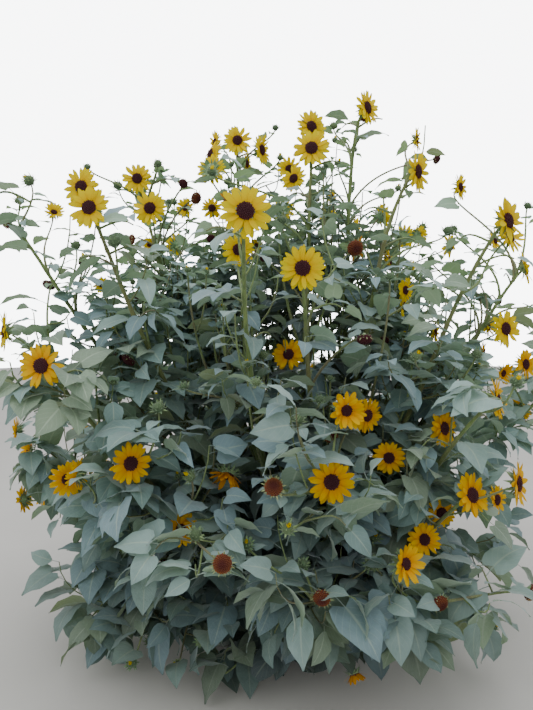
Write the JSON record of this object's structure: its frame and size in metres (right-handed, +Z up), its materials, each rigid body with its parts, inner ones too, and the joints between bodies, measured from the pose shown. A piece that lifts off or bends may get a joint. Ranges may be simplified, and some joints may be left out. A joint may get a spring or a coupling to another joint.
{
  "type": "branching sunflower plant",
  "caption": "Tall many-stemmed garden sunflower clump in bloom, with small dark-centred yellow heads, buds and spent heads over grey-green drooping leaves.",
  "frame": {"origin": "centre of the flat cut under the foot, at ground level", "axes": "+Z up; the plant is seen along +Y, with +X to the viewer's right"},
  "size_m": [2.5687, 2.0478, 2.2461],
  "materials": {
    "woody_foot": "rough, ridged, fibrous stem base",
    "green_stem": "matt, ribbed and finely hairy",
    "foliage": "matt, finely hairy leaf with pale veins",
    "bud_green": "matt, hairy bracts",
    "ray_petals": "soft satin, streaked lengthwise",
    "flower_disc": "velvety, packed with small florets",
    "spent_heads": "dry and bristly"
  },
  "bodies": {
    "root": {"foot": "woody_foot", "stem_topmost": "green_stem", "stem_top_mid": "green_stem", "stem_top_left": "green_stem", "stem_upper_left": "green_stem", "stem_left_twin": "green_stem", "stem_far_left": "green_stem", "stem_big_head": "green_stem", "stem_front_mid": "green_stem", "stem_upper_right": "green_stem", "stem_right_far": "green_stem", "stem_right_high": "green_stem", "stem_left_big": "green_stem", "stem_left_edge": "green_stem", "stem_left_low": "green_stem", "stem_front_left": "green_stem", "stem_front": "green_stem", "stem_right_mid": "green_stem", "stem_right_low": "green_stem", "stem_right_side": "green_stem", "stem_front_low": "green_stem", "stem_right_skirt": "green_stem", "stem_back_right_high": "green_stem", "stem_back_high": "green_stem", "stem_back_left_high": "green_stem", "stem_back_right": "green_stem", "stem_back": "green_stem", "stem_back_low_right": "green_stem", "stem_back_low_left": "green_stem", "stem_back_left": "green_stem", "shoot_topmost": "foliage", "shoot_top_mid": "foliage", "shoot_top_left": "foliage", "shoot_upper_left": "foliage", "shoot_left_twin": "foliage", "shoot_far_left": "foliage", "shoot_big_head": "foliage", "shoot_front_mid": "foliage", "shoot_upper_right": "foliage", "shoot_right_far": "foliage", "shoot_right_high": "foliage", "shoot_left_big": "foliage", "shoot_left_edge": "foliage", "shoot_left_low": "foliage", "shoot_front_left": "foliage", "shoot_front": "foliage", "shoot_right_mid": "foliage", "shoot_right_low": "foliage", "shoot_right_side": "foliage", "shoot_front_low": "foliage", "shoot_right_skirt": "foliage", "shoot_back_right_high": "foliage", "shoot_back_high": "foliage", "shoot_back_left_high": "foliage", "shoot_back_right": "foliage", "shoot_back": "foliage", "shoot_back_low_right": "foliage", "shoot_back_low_left": "foliage", "shoot_back_left": "foliage"}
  },
  "joints": []
}
